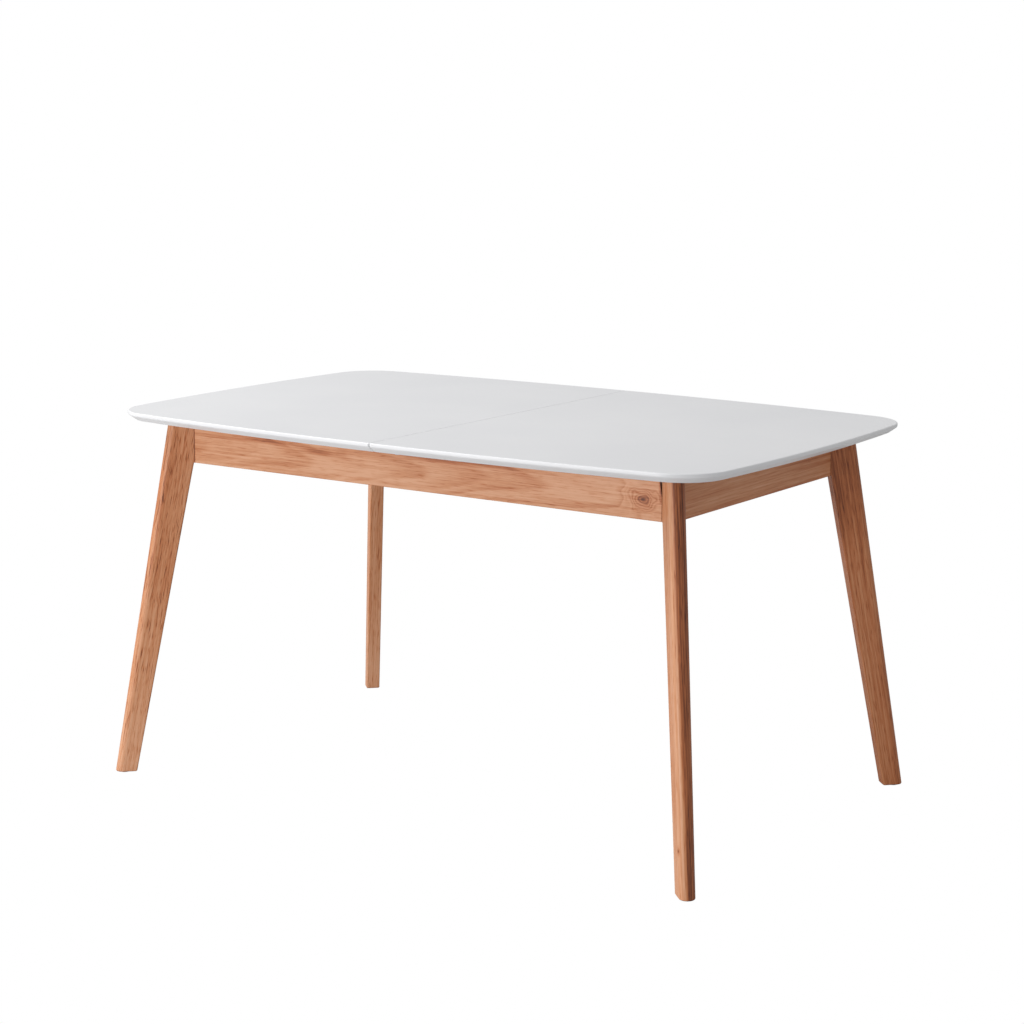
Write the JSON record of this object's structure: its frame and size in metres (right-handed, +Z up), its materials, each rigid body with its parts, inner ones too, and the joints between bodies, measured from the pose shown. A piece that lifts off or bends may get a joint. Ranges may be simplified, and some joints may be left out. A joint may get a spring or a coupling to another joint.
{
  "type": "extendable dining table",
  "caption": "Extendable dining table with a bowed white top that parts in the middle over a wooden frame, splayed board legs and a folding leaf stored inside.",
  "frame": {"origin": "floor point under the middle of the closed top", "axes": "+X along the table's length, +Y across it towards the back, +Z up"},
  "size_m": [1.4, 0.9, 0.75],
  "materials": {
    "oiled_wood": "satin oil",
    "plain_wood": "sanded, unfinished",
    "white_lacquer": "satin white lacquer on fibreboard",
    "zinc_steel": "zinc plated",
    "dark_steel": "black powder coat",
    "pale_nylon": "moulded",
    "dark_nylon": "moulded",
    "soft_rubber": "matte",
    "felt_glide": "pressed felt"
  },
  "bodies": {
    "frame": {"apron_front": "oiled_wood", "apron_back": "oiled_wood", "apron_left": "oiled_wood", "apron_right": "oiled_wood", "leg_front_left": "oiled_wood", "leg_front_right": "oiled_wood", "leg_back_left": "oiled_wood", "leg_back_right": "oiled_wood", "corner_block_front_left": "plain_wood", "corner_block_front_right": "plain_wood", "corner_block_back_left": "plain_wood", "corner_block_back_right": "plain_wood", "leg_bolts": "zinc_steel", "leg_washers": "zinc_steel", "leg_nuts": "zinc_steel", "frame_screws": "zinc_steel", "floor_glides": "felt_glide", "top_glides": "pale_nylon", "cross_rail_left": "plain_wood", "cross_rail_right": "plain_wood", "mechanism_board": "plain_wood", "rack_guides": "pale_nylon", "pinion_bolt": "zinc_steel", "channel_front": "zinc_steel", "channel_back": "zinc_steel", "rest_rails": "plain_wood", "leaf_rest_pads": "soft_rubber", "leaf_panel_a": "white_lacquer", "leaf_panel_b": "white_lacquer", "leaf_dowels": "plain_wood", "leaf_hinges": "zinc_steel", "leaf_pivot_ears": "dark_steel", "leaf_pivot_brackets": "dark_steel"},
    "half_left": {"top_left": "white_lacquer", "batten_left_front": "plain_wood", "batten_left_back": "plain_wood", "rail_left_front": "zinc_steel", "rail_left_back": "zinc_steel", "rack_left": "zinc_steel", "rack_bracket_left": "dark_steel", "screws_left": "zinc_steel", "top_dowels": "plain_wood", "latch_pivots": "zinc_steel"},
    "half_right": {"top_right": "white_lacquer", "batten_right_front": "plain_wood", "batten_right_back": "plain_wood", "rail_right_front": "zinc_steel", "rail_right_back": "zinc_steel", "rack_right": "zinc_steel", "rack_bracket_right": "dark_steel", "screws_right": "zinc_steel", "latch_strikes": "zinc_steel"},
    "cage_left_front": {"ball_cage_left_front": "dark_steel"},
    "cage_left_back": {"ball_cage_left_back": "dark_steel"},
    "cage_right_front": {"ball_cage_right_front": "dark_steel"},
    "cage_right_back": {"ball_cage_right_back": "dark_steel"},
    "pinion": {"pinion": "dark_nylon"},
    "hook_front": {"latch_hook_front": "zinc_steel"},
    "hook_back": {"latch_hook_back": "zinc_steel"}
  },
  "joints": [
    {"name": "slide_left", "type": "slide", "parent": "frame", "child": "half_left", "axis": [-1, 0, 0], "range_m": [0, 0.2]},
    {"name": "slide_right", "type": "slide", "parent": "frame", "child": "half_right", "axis": [1, 0, 0], "range_m": [0, 0.2]},
    {"name": "roll_left_front", "type": "slide", "parent": "frame", "child": "cage_left_front", "axis": [-1, 0, 0], "range_m": [0, 0.1]},
    {"name": "roll_left_back", "type": "slide", "parent": "frame", "child": "cage_left_back", "axis": [-1, 0, 0], "range_m": [0, 0.1]},
    {"name": "roll_right_front", "type": "slide", "parent": "frame", "child": "cage_right_front", "axis": [1, 0, 0], "range_m": [0, 0.1]},
    {"name": "roll_right_back", "type": "slide", "parent": "frame", "child": "cage_right_back", "axis": [1, 0, 0], "range_m": [0, 0.1]},
    {"name": "pinion_spin", "type": "hinge", "parent": "frame", "child": "pinion", "pos_m": [0, 0, 0.665], "axis": [0, 0, 1], "range_deg": [0, 573]},
    {"name": "hook_front_turn", "type": "hinge", "parent": "half_left", "child": "hook_front", "pos_m": [-0.022, -0.385, 0.727], "axis": [0, 0, -1], "range_deg": [0, 90]},
    {"name": "hook_back_turn", "type": "hinge", "parent": "half_left", "child": "hook_back", "pos_m": [-0.022, 0.385, 0.727], "axis": [0, 0, 1], "range_deg": [0, 90]}
  ],
  "couplings": [
    {"joint": "slide_right", "follows": "slide_left", "ratio": 1},
    {"joint": "roll_left_front", "follows": "slide_left", "ratio": 0.5},
    {"joint": "roll_left_back", "follows": "slide_left", "ratio": 0.5},
    {"joint": "roll_right_front", "follows": "slide_left", "ratio": 0.5},
    {"joint": "roll_right_back", "follows": "slide_left", "ratio": 0.5},
    {"joint": "pinion_spin", "follows": "slide_left", "rad_per_m": 50}
  ]
}
